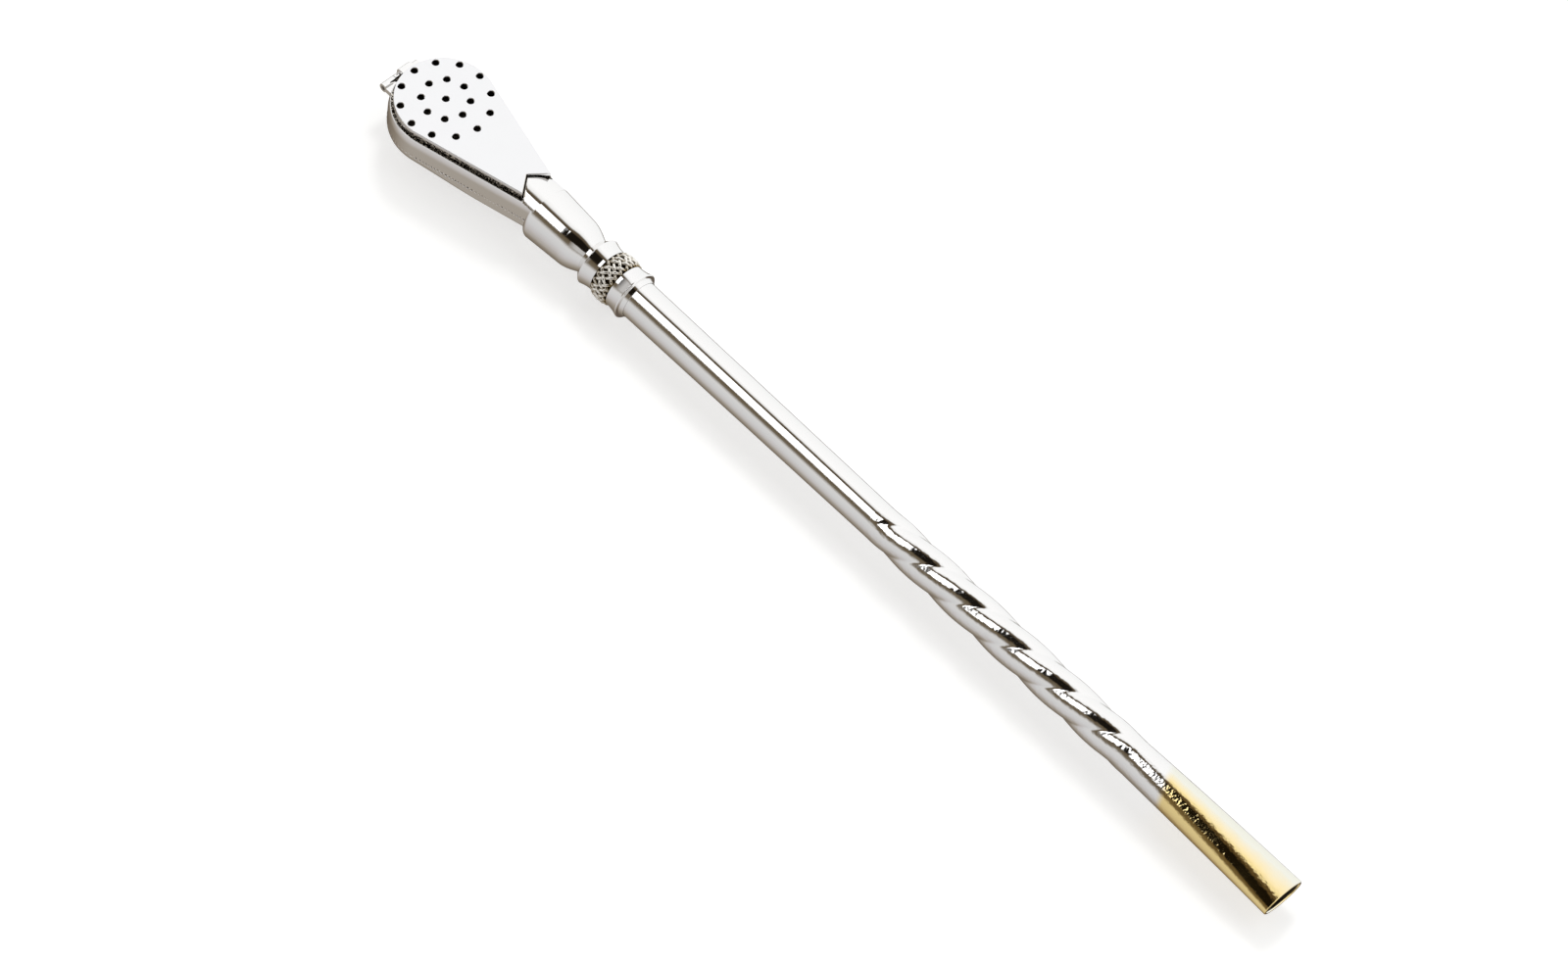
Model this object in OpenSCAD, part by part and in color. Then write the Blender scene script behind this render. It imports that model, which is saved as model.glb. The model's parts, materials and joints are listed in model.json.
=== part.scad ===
/* [Strainer bowl] */
// Outer radius of the bowl's round end
bowl_r = 8.8; // [8.2:0.1:10]
// Distance from the centre of the round end to the neck's mouth
bowl_reach = 22.2; // [20:0.1:28]
// Outer width of the bowl where it enters the neck
bowl_mouth_w = 6.65; // [5.6:0.05:7.2]
// Length of the bowl's narrow end inside the neck
bowl_lap = 2.1; // [1.5:0.1:2.6]
// Height of the rim above the bowl's flat bottom
bowl_depth = 6; // [5.4:0.1:8]
// Height of the rim above the stem's axis
rim_h = 3.65; // [3.2:0.05:4.2]
// Thickness of the bowl's sheet
bowl_wall = 1; // [0.85:0.05:1.2]
// Amount that the wall leans out from the bottom to the rim
bowl_flare = 0.1; // [0:0.05:0.4]
// Radius of the bowl's rounded lower edge
bowl_edge_r = 1.8; // [1.2:0.1:2]

/* [Strainer lid] */
// Height of the lid, a pressed cap with its edge turned down
lid_h = 1.45; // [1.2:0.05:1.6]
// Thickness of the lid's sheet
lid_sheet = 0.7; // [0.5:0.05:0.8]
// Thickness of the lid's turned-down edge
lid_edge = 0.3; // [0.2:0.05:0.3]
// Width of bare rim around the lid
rim_show = 0.7; // [0.4:0.05:0.7]
// Gap between the lid and the rim that it lies on
lid_seat_gap = 0.05; // [0.02:0.01:0.15]
// Rise of the lid's dome over its plate
dome_rise = 0.2; // [0.1:0.05:0.8]
// Flat border between the dome and the lid's edge
dome_border = 0.4; // [0.2:0.05:1]
// Diameter of a strainer hole
hole_d = 1.15; // [0.8:0.05:1.2]
// Distance from the lid's edge in to the outer ring of holes
outer_ring_inset = 0.9; // [0.9:0.05:1.8]
// Holes in the outer ring
outer_ring_n = 12; // [8:1:16]
// Radius of the inner ring of holes
inner_ring_r = 3.85; // [2.5:0.05:4.5]
// Holes in the inner ring
inner_ring_n = 8; // [5:1:10]
// Gap between the lid's notch and the neck's tongue, along the stem
notch_gap = 0.7; // [0.4:0.05:1]

/* [Hinge] */
// Distance from the bowl's tip to the hinge pin's axis
hinge_standoff = 1.04; // [0.9:0.02:1.2]
// Distance from the rim down to the hinge pin's axis
hinge_drop = 2.65; // [2:0.05:3]
// Outside diameter of the hinge knuckles
knuckle_d = 1.55; // [1.3:0.05:1.6]
// Length of the whole hinge barrel
barrel_len = 7.5; // [6:0.1:9]
// Length of the lid's own knuckle
lid_knuckle_len = 2.5; // [2:0.1:3]
// Gap between neighbouring knuckles
knuckle_gap = 0.1; // [0.05:0.01:0.2]
// Diameter of the hinge pin
pin_d = 0.8; // [0.6:0.05:0.9]
// Radial clearance of the pin in the lid's knuckle
pin_clear = 0.05; // [0.02:0.01:0.08]
// Depth of the pin's end inside the barrel
pin_recess = 0.4; // [0.2:0.05:0.8]
// Thickness of the lid's strap
strap_t = 0.6; // [0.4:0.05:0.8]
// Gap between the lid's strap and the bowl's tip
strap_gap = 0.3; // [0.25:0.01:0.45]
// Height of the feet that hold the bowl's knuckles
foot_h = 0.9; // [0.6:0.05:1.2]

/* [Neck] */
// Diameter of the neck behind its rounded lip
neck_d = 9.34; // [9:0.02:10]
// Thickness of the neck that is left over the bowl's narrow end
neck_cover = 0.3; // [0.2:0.05:0.4]
// Width of the solder seam under the neck, filed flat, which the straw lies on
seam_w = 1.8; // [1.6:0.1:2.2]
// Length of the solder seam
seam_len = 3; // [2.5:0.1:4]
// Height of the solder seam over the neck's widest round
seam_h = 0.05; // [0.03:0.01:0.1]
// Length of the neck from its mouth to its waist
neck_len = 11.7; // [10:0.1:15]
// Diameter of the neck where its shoulder starts
shoulder_d = 8.5; // [8:0.1:9.2]
// Length of the shoulder's curve down to the waist
shoulder_len = 3.9; // [3:0.1:4.5]
// Diameter of the waist, at the collar
waist_d = 6.1; // [5.8:0.1:6.4]
// Radius of the rounded lip of the neck's mouth
neck_lip_r = 1.4; // [0.8:0.1:1.6]
// Thickness of the neck's sheet
neck_wall = 0.8; // [0.5:0.05:1]
// Length of the tongue in front of the neck's mouth
tongue_len = 3.5; // [2.8:0.1:4.5]
// Depth of the tongue's chevron
chevron_depth = 2.6; // [1.6:0.1:3]

/* [Collar] */
// Diameter of the lips of the two cups
cup_lip_d = 8.5; // [8:0.02:9.2]
// Diameter of the cups where they meet the ring
cup_foot_d = 7.6; // [7.2:0.1:7.9]
// Length of a cup's flare from the ring to its lip
flare_len = 2.4; // [1.8:0.1:3]
// Largest diameter of the woven ring
ring_d = 8.6; // [8.2:0.02:9]
// Length of the woven ring
ring_len = 3.5; // [3:0.1:5]
// Thickness of the neck cup's floor
cup_floor_t = 0.9; // [0.6:0.05:1.1]
// Radial gap that the solder fills
solder_gap = 0.03; // [0.01:0.01:0.05]

/* [Stem] */
// Diameter of the tube in the collar
tube_d = 6.6; // [6.5:0.02:7]
// Diameter of the tube at the twist
tube_end_d = 6.06; // [5.9:0.02:6.4]
// Thickness of the tube's wall
tube_wall = 0.55; // [0.4:0.05:0.7]
// Length of the plain tube in front of the collar
tube_len = 52.3; // [30:0.1:80]
// Length of the neck's spigot inside the tube
spigot_len = 3.5; // [2:0.1:6]
// Wall of the neck's spigot
spigot_wall = 0.5; // [0.35:0.05:0.7]

/* [Twist] */
// Length of the twisted tube
twist_len = 55; // [40:0.5:70]
// Number of flutes
flutes = 3; // [2:1:4]
// Length in which a flute turns once around
flute_lead = 28.6; // [22:0.1:40]
// Distance of a flute's centre from the axis
flute_offset = 0.68; // [0.3:0.02:0.8]
// Radius of a flute's rounded back
flute_r = 2.54; // [2.5:0.02:2.9]
// Length in which the flutes run out into the round tube
run_out = 6; // [4:0.5:10]
// Angle of the first flute where the twist starts
flute_start = -38; // [-180:1:180]
// Least thickness of the twisted tube's wall, between two flutes
twist_wall = 0.41; // [0.3:0.01:0.6]

/* [Mouthpiece] */
// Length of the mouthpiece
mouth_len = 30.5; // [20:0.5:45]
// Width of the flattened mouth end
mouth_w = 8.06; // [7:0.02:10]
// Thickness of the flattened mouth end
mouth_h = 3.5; // [2.8:0.05:5]
// Distance of the middle of the mouth end below the stem's axis
mouth_drop = 0.6; // [0:0.05:0.8]
// Thickness of the mouthpiece's wall
mouth_wall = 0.5; // [0.4:0.05:0.7]

/* [Hidden] */
$fn = 96;

// Smoothness of the bowl's rounded ends and of the curved profiles
hull_sides = 40;
curve_steps = 6;
shoulder_steps = 8;
tip_steps = 72;
twist_sides_per_flute = 14;
twist_rings = 56;
mouth_sides = 40;
mouth_rings = 16;
// Small overlap that lets a cut pass a face
eps = 0.05;

// The spoon: the centre of the round end is at x = 0, and the stem's axis is at y = 0 and z = 0
mouth_half = bowl_mouth_w / 2;
side_angle = asin(bowl_r / norm([mouth_half, bowl_reach])) - atan(mouth_half / bowl_reach);
bowl_end_x = bowl_reach + bowl_lap;
bowl_floor_z = rim_h - bowl_depth;
lid_r = bowl_r - rim_show;
lid_z = rim_h + lid_seat_gap;
lid_top = lid_z + lid_h;

// The hinge
hinge_x = -bowl_r - hinge_standoff;
hinge_z = rim_h - hinge_drop;
knuckle_r = knuckle_d / 2;
bowl_knuckle_len = (barrel_len - lid_knuckle_len) / 2 - knuckle_gap;
strap_in_x = -bowl_r - strap_gap;
strap_out_x = strap_in_x - strap_t;
strap_root_x = eps - sqrt(lid_r * lid_r - lid_knuckle_len * lid_knuckle_len / 4);

// The neck
neck_r = neck_d / 2;
lap_r = neck_r - neck_cover;
shoulder_r = shoulder_d / 2;
waist_r = waist_d / 2;
neck_top_x = bowl_reach + neck_lip_r;
waist_x = bowl_reach + neck_len;
shoulder_x = waist_x - shoulder_len;
neck_taper = (neck_r - shoulder_r) / (shoulder_x - neck_top_x);
tongue_x = bowl_reach - tongue_len;
tongue_r = neck_r + neck_taper * (neck_top_x - tongue_x);
tongue_half = sqrt(tongue_r * tongue_r - rim_h * rim_h);
chevron_slope = chevron_depth / tongue_half;

// The collar and the stem
tube_r = tube_d / 2;
tube_end_r = tube_end_d / 2;
cup_lip_r = cup_lip_d / 2;
cup_foot_r = cup_foot_d / 2;
ring_r = ring_d / 2;
neck_lip_x = waist_x + cup_lip_r - waist_r;
ring_x = neck_lip_x + flare_len;
tube_lip_x = ring_x + ring_len + flare_len;
collar_end_x = tube_lip_x + cup_lip_r - tube_r;
tube_x = waist_x + cup_floor_t;
tube_bore_r = tube_r - tube_wall;
collar_bore_r = tube_r + solder_gap;
spigot_r = tube_bore_r - solder_gap;
spigot_bore_r = spigot_r - spigot_wall;
twist_x = collar_end_x + tube_len;
mouth_x = twist_x + twist_len;
end_x = mouth_x + mouth_len;

// The part lies with its longest side along X, centred over the origin
rest_r = max(neck_r + seam_h, cup_lip_r, ring_r, -bowl_floor_z, mouth_h / 2 + mouth_drop);
middle_x = (end_x + hinge_x - knuckle_r) / 2;
// The seam's flat leans to the end of the twist, where the straw lies too
lie_angle = atan((neck_r + seam_h - tube_end_r) / (mouth_x - neck_top_x));

// Eased step from 0 to 1
function ease(t) = let (u = min(max(t, 0), 1)) u * u * (3 - 2 * u);
// Points of a circular arc
function arc(cx, cy, r, a0, a1, steps) = [for (i = [0:steps])
    let (a = a0 + (a1 - a0) * i / steps) [cx + r * cos(a), cy + r * sin(a)]];

// Triangles around a tube of the given rings and sides, whose points start at the given index
function side_faces(rings, sides, first) = [for (i = [0:rings - 1], j = [0:sides - 1], k = [0, 1])
    let (a = first + i * sides + j, b = first + i * sides + (j + 1) % sides, c = a + sides, d = b + sides)
    k == 0 ? [a, b, c] : [b, d, c]];

module place() {
    translate([-middle_x, 0, rest_r])
        children();
}

// Turns a profile of [radius, place along the stem] around the stem's axis
module lathe(points) {
    rotate([0, 90, 0])
        rotate_extrude()
            polygon(points);
}

// A round bar along the stem
module bar(x0, x1, r) {
    translate([x0, 0, 0])
        rotate([0, 90, 0])
            cylinder(h = x1 - x0, r = r);
}

// A round bar across the spoon, on the hinge's axis
module hinge_bar(y0, y1, r) {
    translate([hinge_x, y0, hinge_z])
        rotate([-90, 0, 0])
            cylinder(h = y1 - y0, r = r);
}

// Outline of the spoon with a round tip of the given radius, as far as x1
module teardrop(r, x1) {
    half = (r - x1 * sin(side_angle)) / cos(side_angle);
    polygon(concat(arc(0, 0, r, 90 - side_angle, 270 + side_angle, tip_steps), [[x1, -half], [x1, half]]));
}

// Round dish with a rounded lower edge that leans out to the rim
module dish(r, z0, z1, edge_r) {
    edge = arc(r - bowl_flare - edge_r, z0 + edge_r, edge_r, -90, 0, curve_steps);
    rotate_extrude($fn = hull_sides)
        polygon(concat([[0, z0]], edge, [[r, z1], [0, z1]]));
}

// The spoon's full shape between its round tip and the narrow end
module spoon(r, z0, z1, edge_r) {
    end_r = r - bowl_end_x * sin(side_angle);
    hull() {
        dish(r, z0, z1, edge_r);
        translate([bowl_end_x, 0, 0])
            dish(end_r, z0, z1, min(edge_r, end_r - 2 * bowl_flare));
    }
}

// Outside of the bowl, whose narrow end is drawn in to fit the neck and cut square
module bowl_outside() {
    difference() {
        spoon(bowl_r, bowl_floor_z, rim_h, bowl_edge_r);
        difference() {
            translate([bowl_reach, -bowl_r, bowl_floor_z - eps])
                cube([bowl_r, 2 * bowl_r, bowl_depth + 2 * eps]);
            bar(bowl_reach - eps, bowl_end_x, lap_r);
        }
    }
}

module bowl() {
    inner_edge_r = max(bowl_edge_r - bowl_wall, bowl_wall / 4);
    color("silver") place() difference() {
        bowl_outside();
        spoon(bowl_r - bowl_wall, bowl_floor_z + bowl_wall, rim_h + eps, inner_edge_r);
        // Room for solder under the narrow end
        translate([bowl_reach - eps, -bowl_r, bowl_floor_z - eps])
            cube([bowl_lap + 2 * eps, 2 * bowl_r, eps + solder_gap]);
    }
}

// Strap from the lid's lower edge that bends over the tip and down to the lid's knuckle
module strap() {
    rotate([90, 0, 0])
        linear_extrude(lid_knuckle_len, center = true)
            polygon(concat(
                [[strap_root_x, lid_z + strap_t]],
                arc(strap_in_x, lid_z, strap_t, 90, 180, curve_steps),
                [[strap_out_x, hinge_z], [strap_in_x, hinge_z], [strap_in_x, lid_z], [strap_root_x, lid_z]]));
}

module ring_of_holes(r, n) {
    for (i = [0:n - 1])
        rotate(i * 360 / n)
            translate([r, 0, lid_z - eps])
                cylinder(h = lid_h + dome_rise + 2 * eps, d = hole_d);
}

// Outline of the lid with its V notch, inset from its edge
module lid_outline(inset) {
    notch_x = tongue_x - notch_gap - inset * norm([1, chevron_slope]);
    notch_side_x = notch_x + chevron_slope * bowl_r;
    notch_back_x = bowl_reach + eps;
    difference() {
        teardrop(lid_r - inset, bowl_reach);
        polygon([[notch_x, 0], [notch_side_x, bowl_r], [notch_back_x, bowl_r],
                 [notch_back_x, -bowl_r], [notch_side_x, -bowl_r]]);
    }
}

module strainer_lid() {
    dome_r = lid_r - dome_border;
    dome = [for (i = [0:curve_steps])
        let (t = 1 - i / curve_steps) [dome_r * t, dome_rise * (1 - t * t)]];
    color("gainsboro") place() difference() {
        union() {
            difference() {
                translate([0, 0, lid_z])
                    linear_extrude(lid_h)
                        lid_outline(0);
                translate([0, 0, lid_z - eps])
                    linear_extrude(lid_h - lid_sheet + eps)
                        lid_outline(lid_edge);
            }
            translate([0, 0, lid_top])
                rotate_extrude()
                    polygon(concat([[0, -lid_sheet / 2], [dome_r, -lid_sheet / 2]], dome));
            strap();
        }
        hinge_bar(-lid_knuckle_len, lid_knuckle_len, knuckle_r);
        ring_of_holes(lid_r - outer_ring_inset, outer_ring_n);
        ring_of_holes(inner_ring_r, inner_ring_n);
        ring_of_holes(0, 1);
    }
}

module lid_knuckle() {
    color("silver") place() difference() {
        hinge_bar(-lid_knuckle_len / 2, lid_knuckle_len / 2, knuckle_r);
        hinge_bar(-lid_knuckle_len, lid_knuckle_len, pin_d / 2 + pin_clear);
    }
}

// Knuckle on the bowl with its foot against the tip; side is -1 for the near one and 1 for the far one
module bowl_knuckle(side) {
    y0 = side > 0 ? barrel_len / 2 - bowl_knuckle_len : -barrel_len / 2;
    difference() {
        union() {
            hinge_bar(y0, y0 + bowl_knuckle_len, knuckle_r);
            translate([hinge_x, y0, hinge_z - foot_h / 2])
                cube([bowl_r / 2, bowl_knuckle_len, foot_h]);
        }
        bowl_outside();
        hinge_bar(-barrel_len, barrel_len, pin_d / 2);
    }
}

module bowl_knuckle_near() {
    color("silver") place() bowl_knuckle(-1);
}

module bowl_knuckle_far() {
    color("silver") place() bowl_knuckle(1);
}

module hinge_pin() {
    color("dimgray") place()
        hinge_bar(-barrel_len / 2 + pin_recess, barrel_len / 2 - pin_recess, pin_d / 2);
}

// Radius of the neck's shoulder at t, from 0 at its start to 1 at the waist
function shoulder(t, inset) = waist_r - inset + (shoulder_r - waist_r) * cos(90 * t);
function shoulder_points(inset) = [for (i = [0:shoulder_steps])
    let (t = i / shoulder_steps) [shoulder(t, inset), shoulder_x + t * shoulder_len]];

// Arched tongue over the bowl's narrow end, with its chevron
module tongue() {
    intersection() {
        lathe([[tongue_r - neck_wall, tongue_x], [tongue_r, tongue_x],
               [neck_r, neck_top_x], [neck_r - neck_wall, neck_top_x]]);
        translate([0, 0, rim_h])
            linear_extrude(tongue_r)
                polygon([[tongue_x, 0], [tongue_x + chevron_depth, tongue_half], [neck_top_x, tongue_half],
                         [neck_top_x, -tongue_half], [tongue_x + chevron_depth, -tongue_half]]);
    }
}

// Seam under the neck, from its widest round back
module solder_seam() {
    translate([neck_top_x, -seam_w / 2, -neck_r - seam_h])
        rotate([0, -lie_angle, 0])
            cube([seam_len, seam_w, neck_wall]);
}

module neck() {
    spigot_end_x = tube_x + spigot_len;
    throat_r = neck_r - neck_wall - bowl_wall;
    lip = arc(neck_r - neck_lip_r, neck_top_x, neck_lip_r, -90, 0, curve_steps);
    color("silver") place() difference() {
        union() {
            lathe(concat([[0, bowl_reach]], lip, shoulder_points(0),
                         [[spigot_r, waist_x], [spigot_r, spigot_end_x], [0, spigot_end_x]]));
            tongue();
            solder_seam();
        }
        bowl_outside();
        lathe(concat([[0, bowl_end_x - eps], [throat_r, bowl_end_x - eps]], shoulder_points(neck_wall),
                     [[spigot_bore_r, waist_x], [spigot_bore_r, spigot_end_x + eps],
                      [0, spigot_end_x + eps]]));
    }
}

// Points of a cup's hollow flare from its foot on the ring to its lip, going to +x or -x
function flare(foot_x, way) = [for (i = [0:curve_steps])
    let (t = i / curve_steps) [cup_foot_r + (cup_lip_r - cup_foot_r) * t * t, foot_x + way * flare_len * t]];

module neck_cup() {
    color("silver") place() difference() {
        lathe(concat([[0, ring_x]], flare(ring_x, -1), [[waist_r, waist_x], [0, waist_x]]));
        bar(tube_x, ring_x + eps, collar_bore_r);
        bar(waist_x - eps, ring_x, spigot_r + solder_gap);
    }
}

module woven_ring() {
    crown = [for (i = [0:shoulder_steps])
        let (t = 2 * i / shoulder_steps - 1)
        [cup_foot_r + (ring_r - cup_foot_r) * sqrt(1 - t * t), ring_x + ring_len * (1 + t) / 2]];
    color("gray") place() difference() {
        lathe(concat([[0, ring_x]], crown, [[0, ring_x + ring_len]]));
        bar(ring_x - eps, ring_x + ring_len + eps, collar_bore_r);
    }
}

module tube_cup() {
    foot_x = ring_x + ring_len;
    color("silver") place() difference() {
        lathe(concat([[0, foot_x]], flare(foot_x, 1), [[collar_bore_r, collar_end_x], [0, collar_end_x]]));
        bar(foot_x - eps, collar_end_x + eps, collar_bore_r);
    }
}

module stem_tube() {
    end_bore_r = tube_end_r - tube_wall;
    color("silver") place()
        lathe([[tube_bore_r, tube_x], [tube_r, tube_x], [tube_r, collar_end_x], [tube_end_r, twist_x],
               [end_bore_r, twist_x], [tube_bore_r, collar_end_x]]);
}

// Radius of the section of round flutes at the angle a from the middle of a flute
function flute(a) = let (b = a - 360 / flutes * round(a * flutes / 360), s = flute_offset * sin(b))
    flute_offset * cos(b) + sqrt(flute_r * flute_r - s * s);

module twisted_tube() {
    sides = twist_sides_per_flute * flutes;
    points = [for (i = [0:twist_rings], j = [0:sides - 1])
        let (x = twist_len * i / twist_rings,
             depth = ease(x / run_out) * ease((twist_len - x) / run_out),
             a = 360 * j / sides,
             turn = 360 * x / flute_lead - flute_start,
             r = tube_end_r + depth * (flute(a) - tube_end_r))
        [twist_x + x, r * cos(a - turn), r * sin(a - turn)]];
    start_cap = [for (j = [0:sides - 1]) sides - 1 - j];
    end_cap = [for (j = [0:sides - 1]) twist_rings * sides + j];
    bore_r = flute(180 / flutes) - twist_wall;
    color("silver") place() difference() {
        polyhedron(points, concat([start_cap, end_cap], side_faces(twist_rings, sides, 0)));
        bar(twist_x - eps, mouth_x + eps, bore_r);
    }
}

// Ring of points around the mouthpiece at t, from 0 at its round end to 1 at the mouth
function mouth_ring(t, inset) = [for (j = [0:mouth_sides - 1])
    let (a = 360 * j / mouth_sides,
         half_w = tube_end_r + t * (mouth_w / 2 - tube_end_r) - inset,
         half_h = tube_end_r + t * (mouth_h / 2 - tube_end_r) - inset)
    [mouth_x + t * mouth_len, half_w * cos(a), half_h * sin(a) - t * mouth_drop]];

module mouthpiece() {
    n = mouth_sides;
    outside = [for (i = [0:mouth_rings], p = mouth_ring(i / mouth_rings, 0)) p];
    inside = [for (i = [0:mouth_rings], p = mouth_ring(i / mouth_rings, mouth_wall)) p];
    last = mouth_rings * n;
    first_in = len(outside);
    inner_faces = [for (f = side_faces(mouth_rings, n, first_in)) [f[2], f[1], f[0]]];
    start_edge = [for (j = [0:n - 1], k = [0, 1])
        let (a = j, b = (j + 1) % n) k == 0 ? [a, first_in + a, b] : [b, first_in + a, first_in + b]];
    end_edge = [for (f = start_edge) [last + f[2], last + f[1], last + f[0]]];
    color("goldenrod") place()
        polyhedron(concat(outside, inside),
                   concat(side_faces(mouth_rings, n, 0), inner_faces, start_edge, end_edge));
}

bowl();
strainer_lid();
lid_knuckle();
bowl_knuckle_near();
bowl_knuckle_far();
hinge_pin();
neck();
neck_cup();
woven_ring();
tube_cup();
stem_tube();
twisted_tube();
mouthpiece();
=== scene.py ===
import json
import math

import bpy
import bmesh
import numpy as np
from mathutils import Matrix, Vector
from mathutils.geometry import delaunay_2d_cdt


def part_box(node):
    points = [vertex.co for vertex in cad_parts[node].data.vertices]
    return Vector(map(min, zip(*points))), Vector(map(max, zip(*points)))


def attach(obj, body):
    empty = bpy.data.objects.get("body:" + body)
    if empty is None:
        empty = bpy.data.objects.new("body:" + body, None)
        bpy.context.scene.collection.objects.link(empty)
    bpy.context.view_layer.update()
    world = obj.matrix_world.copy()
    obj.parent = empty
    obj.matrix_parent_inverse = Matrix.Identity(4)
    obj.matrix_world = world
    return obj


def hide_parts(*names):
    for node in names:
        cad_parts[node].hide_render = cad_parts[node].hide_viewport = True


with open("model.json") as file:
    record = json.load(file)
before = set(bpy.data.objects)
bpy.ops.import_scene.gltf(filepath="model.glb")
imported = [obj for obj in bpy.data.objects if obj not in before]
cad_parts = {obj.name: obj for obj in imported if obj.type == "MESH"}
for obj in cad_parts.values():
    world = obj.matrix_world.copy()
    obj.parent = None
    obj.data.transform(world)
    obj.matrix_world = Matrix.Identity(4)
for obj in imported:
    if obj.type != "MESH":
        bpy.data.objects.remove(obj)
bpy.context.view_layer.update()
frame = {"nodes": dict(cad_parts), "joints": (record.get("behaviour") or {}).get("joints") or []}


# Sizes are in millimetres. Places are measured from the centre of the spoon's round tip along the stem (x),
# from the middle plane (y) and from the stem's axis (z). What the frame knows is read from it.
MM = 0.001
bowl_low, bowl_high = (np.array(corner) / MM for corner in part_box("bowl"))
tube_low, tube_high = (np.array(corner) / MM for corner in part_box("stem_tube"))
BOWL_R = (bowl_high[1] - bowl_low[1]) / 2
ORIGIN = np.array([bowl_low[0] + BOWL_R, 0, (tube_low[2] + tube_high[2]) / 2])


def span(node, axis):
    """Lowest and highest place of a CAD node along an axis."""
    low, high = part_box(node)
    return [corner["xyz".index(axis)] / MM - ORIGIN["xyz".index(axis)] for corner in (low, high)]


# The bowl
FLOOR_Z, RIM_Z = span("bowl", "z")
BOWL_END_X = span("bowl", "x")[1]
BOWL_REACH = 22.2
BOWL_MOUTH_W = 6.65
BOWL_WALL = 1.0
BOWL_FLARE = 0.1
BOWL_EDGE_R = 1.8
BOWL_NECK_EDGE_R = 0.7
EDGE_CHANGE_LEN = 14
INNER_EDGE_R = 0.3
RIM_EDGE_R = 0.05
TURN_IN = 0.27
TURN_IN_H = 1.6
RIM_SHADE_INSET = 0.36
SIDE_ANGLE = (math.asin(BOWL_R / math.hypot(BOWL_MOUTH_W / 2, BOWL_REACH))
              - math.atan(BOWL_MOUTH_W / 2 / BOWL_REACH))

# The solder seam around the bowl: its zone takes in the smooth wall just beside it, and its deeper pits,
# below a share of PIT_DEPTH, are painted dark brown as shade
SEAM_Z = FLOOR_Z + 2.2
SEAM_HALF_H = 0.24
SEAM_ZONE_HALF_H = 0.27
SEAM_PROFILE = (0, 0.35, 0.85, 1, 0.85, 0.35, 0)
BEAD_H = 0.06
PIT_DEPTH = 0.16
SHADED_PIT = -0.3

# The lid
LID_INSET = 0.7
LID_R = BOWL_R - LID_INSET
LID_GAP = 0.05
LID_Z = RIM_Z + LID_GAP
LID_H = 1.45
LID_TOP = LID_Z + LID_H
LID_SHEET = 0.7
LID_LIP = 0.3
LID_EDGE_R = 0.06
# The foot of the lid's edge is painted dark brown as shade: its height, its share at the tip, and where it
# rises
LID_SHADE_H = 0.82
TIP_SHADE = 0.15
SHADE_FROM_X = -4
SHADE_RISE_LEN = 6
DOME_RISE = span("strainer_lid", "z")[1] - LID_TOP
HOLE_D = 1.15
HOLE_SIDES = 24
HOLE_EDGE = 0.08
HOLE_LOW_EDGE = 0.02
INNER_RING_R = 3.85
OUTER_RING_INSET = 0.9
HOLE_RINGS = [(0, 1), (INNER_RING_R, 8), (LID_R - OUTER_RING_INSET, 12)]
NOTCH_X = 18.4
NOTCH_STEPS = 13

# The hinge strap
HINGE = [joint["pos_m"] for joint in frame["joints"] if joint["name"] == "lid_hinge"][0]
HINGE_X, HINGE_Z = HINGE[0] / MM - ORIGIN[0], HINGE[2] / MM - ORIGIN[2]
STRAP_W = span("lid_knuckle", "y")[1] * 2
STRAP_T = 0.6
STRAP_LAP = 0.2
STRAP_OUT_X = span("strainer_lid", "x")[0]
KNUCKLE_R = span("lid_knuckle", "x")[1] - HINGE_X

# The neck
NECK_R = 4.67
NECK_WALL = 0.8
NECK_LIP_R = 1.4
NECK_LIP_FALL = 2.2
NECK_TOP_X = BOWL_REACH + NECK_LIP_R
NECK_LOW_Z, TONGUE_R = span("neck", "z")
NECK_SQUARE = 0.45
NECK_PINCH = 0.06
NECK_BORE_R = 2.6
NECK_MOUTH_R = 2.2
TONGUE_X = span("neck", "x")[0]
TONGUE_HALF = math.sqrt(TONGUE_R ** 2 - RIM_Z ** 2)
TONGUE_EDGE_R = 0.1
CHEVRON_LEN = 2.6
CHEVRON_SLOPE = CHEVRON_LEN / TONGUE_HALF
SHOULDER_R = 4.25
SHOULDER_LEN = 3.9
WAIST_R = 3.05
WAIST_X = span("neck_cup", "x")[0]
SHOULDER_X = WAIST_X - SHOULDER_LEN
NECK_TAPER = (NECK_R - SHOULDER_R) / (SHOULDER_X - NECK_TOP_X)

# The bowl's end, which laps under the neck's wall from LAP_X on
LAP_DEPTH = 0.3
LAP_R = NECK_R - LAP_DEPTH
LAP_BACK = 0.1
LAP_X = NECK_TOP_X - LAP_BACK

# The solder seam filed flat under the neck
FOOT_W = 1.8
FOOT_LEN = 3.0
FOOT_H = 0.7
FOOT_EDGE = 0.05
FOOT_END = 0.1

# The tubes
TUBE_X, TWIST_X = span("stem_tube", "x")
TUBE_R = span("stem_tube", "z")[1]
TUBE_END_R = 3.03
TUBE_WALL = 0.55
TUBE_BORE_R = TUBE_R - TUBE_WALL
FLUTES = 3
FLUTE_LEAD = 28.6
FLUTE_OFFSET = 0.68
FLUTE_R = 2.54
FLUTE_START = math.radians(-38)
RUN_OUT = 6
TWIST_BORE_R = 2.4
MOUTH_X, END_X = span("mouthpiece", "x")
MOUTH_HALF_W = span("mouthpiece", "y")[1]
MOUTH_HALF_H = 1.75
MOUTH_DROP = 0.6
MOUTH_WALL = 0.5
GOLD_X = MOUTH_X + 6

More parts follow.
